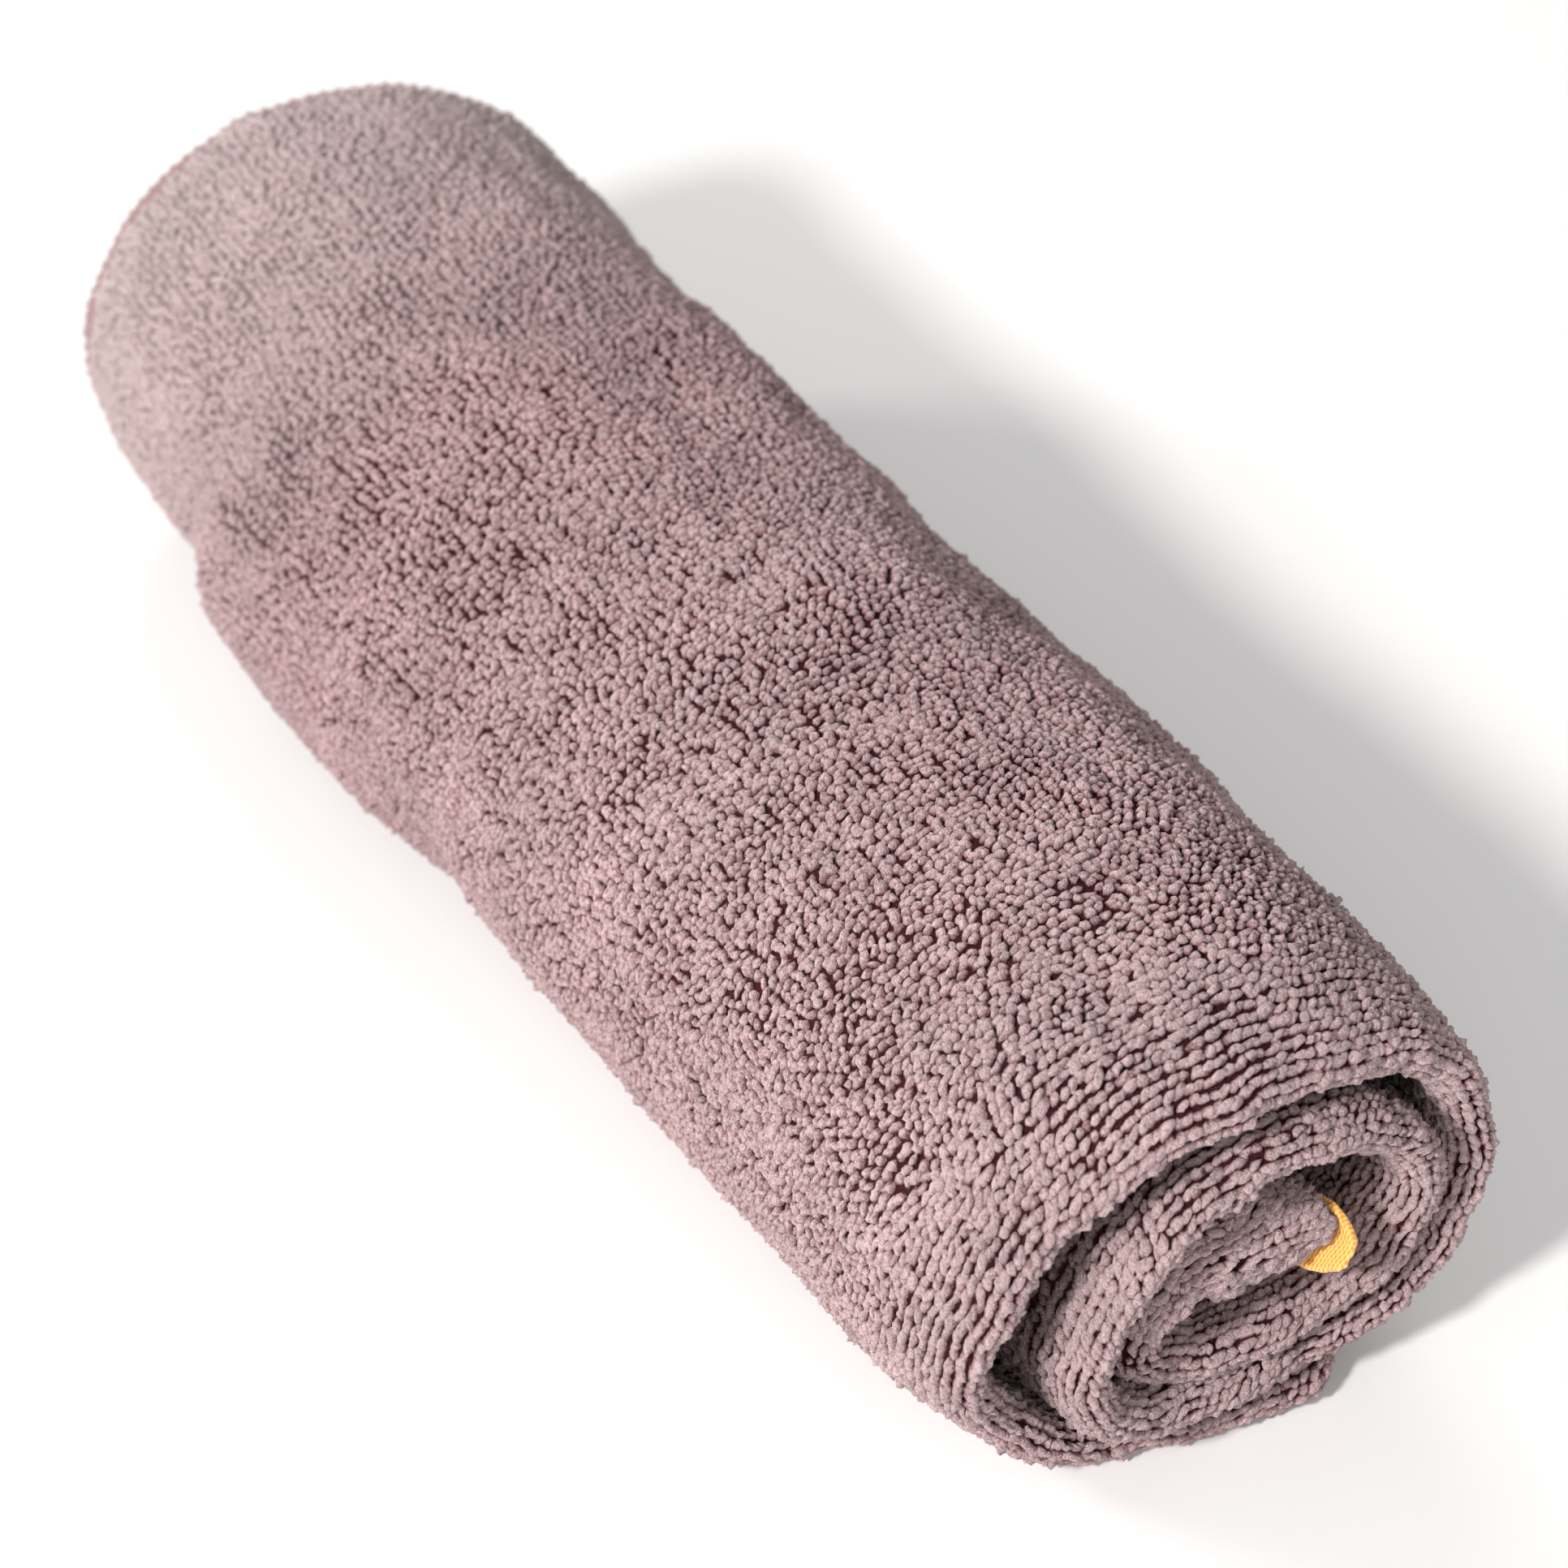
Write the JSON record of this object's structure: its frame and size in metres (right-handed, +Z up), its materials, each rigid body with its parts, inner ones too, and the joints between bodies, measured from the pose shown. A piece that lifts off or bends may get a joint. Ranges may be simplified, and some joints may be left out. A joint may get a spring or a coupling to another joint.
{
  "type": "rolled terry towel",
  "caption": "Quick-dry microfibre terry towel, folded in half and rolled, with a hang loop at the core of the roll and a loose outer end that unrolls.",
  "frame": {"origin": "middle of the bounding box's bottom face, on the flat patch that the roll rests on", "axes": "+X along the roll towards the end with the folded edges, +Y to the right seen from that end, +Z up"},
  "size_m": [0.26, 0.0829, 0.0695],
  "materials": {
    "terry": "looped pile, matt",
    "hem": "flat woven hem, matt",
    "thread": "sewing thread",
    "loop_tape": "smooth woven tape",
    "label_satin": "satin, blank"
  },
  "bodies": {
    "root": {"core_end_hem": "hem", "core_hem_stitches": "thread", "terry_core_turn": "terry", "terry_second_turn": "terry", "terry_outer_turn": "terry", "side_hems_core": "hem", "side_hem_thread_core": "thread", "side_hems_outer": "hem", "side_hem_thread_outer": "thread", "hang_loop_sewn_end": "loop_tape", "hang_loop_bartacks": "thread", "care_label": "label_satin", "care_label_stitches": "thread"},
    "hang_loop": {"hang_loop": "loop_tape"},
    "loose_end_1": {"terry_loose_end_1": "terry", "side_hems_loose_end_1": "hem", "side_hem_thread_loose_end_1": "thread"},
    "loose_end_2": {"terry_loose_end_2": "terry", "side_hems_loose_end_2": "hem", "side_hem_thread_loose_end_2": "thread"},
    "loose_end_3": {"terry_loose_end_3": "terry", "side_hems_loose_end_3": "hem", "side_hem_thread_loose_end_3": "thread"},
    "loose_end_4": {"terry_loose_end_4": "terry", "side_hems_loose_end_4": "hem", "side_hem_thread_loose_end_4": "thread", "free_end_hem": "hem", "free_hem_stitches": "thread"}
  },
  "joints": [
    {"name": "unroll_1", "type": "hinge", "parent": "root", "child": "loose_end_1", "pos_m": [0, -0.04139, 0.03129], "axis": [-1, 0, 0], "range_deg": [0, 46]},
    {"name": "unroll_2", "type": "hinge", "parent": "loose_end_1", "child": "loose_end_2", "pos_m": [0, -0.03851, 0.01731], "axis": [-1, 0, 0], "range_deg": [0, 46]},
    {"name": "unroll_3", "type": "hinge", "parent": "loose_end_2", "child": "loose_end_3", "pos_m": [0, -0.02964, 0.00615], "axis": [-1, 0, 0], "range_deg": [0, 46]},
    {"name": "unroll_4", "type": "hinge", "parent": "loose_end_3", "child": "loose_end_4", "pos_m": [0, -0.01651, 0.00028], "axis": [-1, 0, 0], "range_deg": [0, 46]},
    {"name": "hang_loop_pull", "type": "slide", "parent": "root", "child": "hang_loop", "axis": [1, 0, 0], "range_m": [0, 0.016]}
  ],
  "couplings": [
    {"joint": "unroll_2", "follows": "unroll_1", "ratio": 1},
    {"joint": "unroll_3", "follows": "unroll_1", "ratio": 1},
    {"joint": "unroll_4", "follows": "unroll_1", "ratio": 1}
  ]
}
